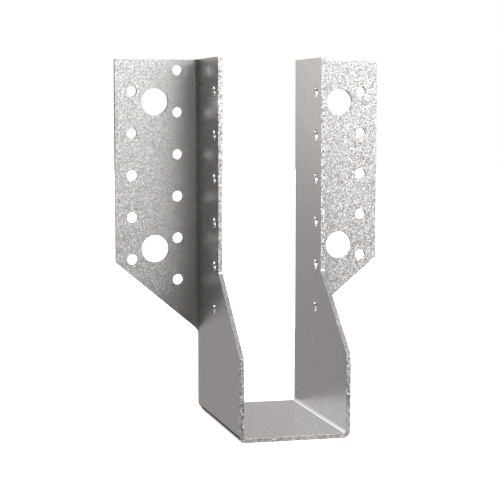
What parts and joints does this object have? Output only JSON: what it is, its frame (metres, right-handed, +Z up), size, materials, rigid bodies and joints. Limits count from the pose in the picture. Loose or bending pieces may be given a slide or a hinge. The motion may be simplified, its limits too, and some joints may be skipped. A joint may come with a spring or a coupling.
{
  "type": "joist hanger",
  "caption": "Face-mount joist hanger of folded galvanised sheet: a U-shaped seat carries a joist between side plates, and outward wings take nails or bolts into a header.",
  "frame": {"origin": "middle of the footprint, level with the underside of the seat", "axes": "+X across the joist from the left wing to the right wing, +Y along the joist towards the header that the wings lie against, +Z up"},
  "size_m": [0.13, 0.085, 0.1682],
  "materials": {
    "galvanised_steel": "galvanised sheet, satin grey with a fine crystal speckle"
  },
  "bodies": {
    "root": {"hanger": "galvanised_steel"}
  },
  "joints": []
}
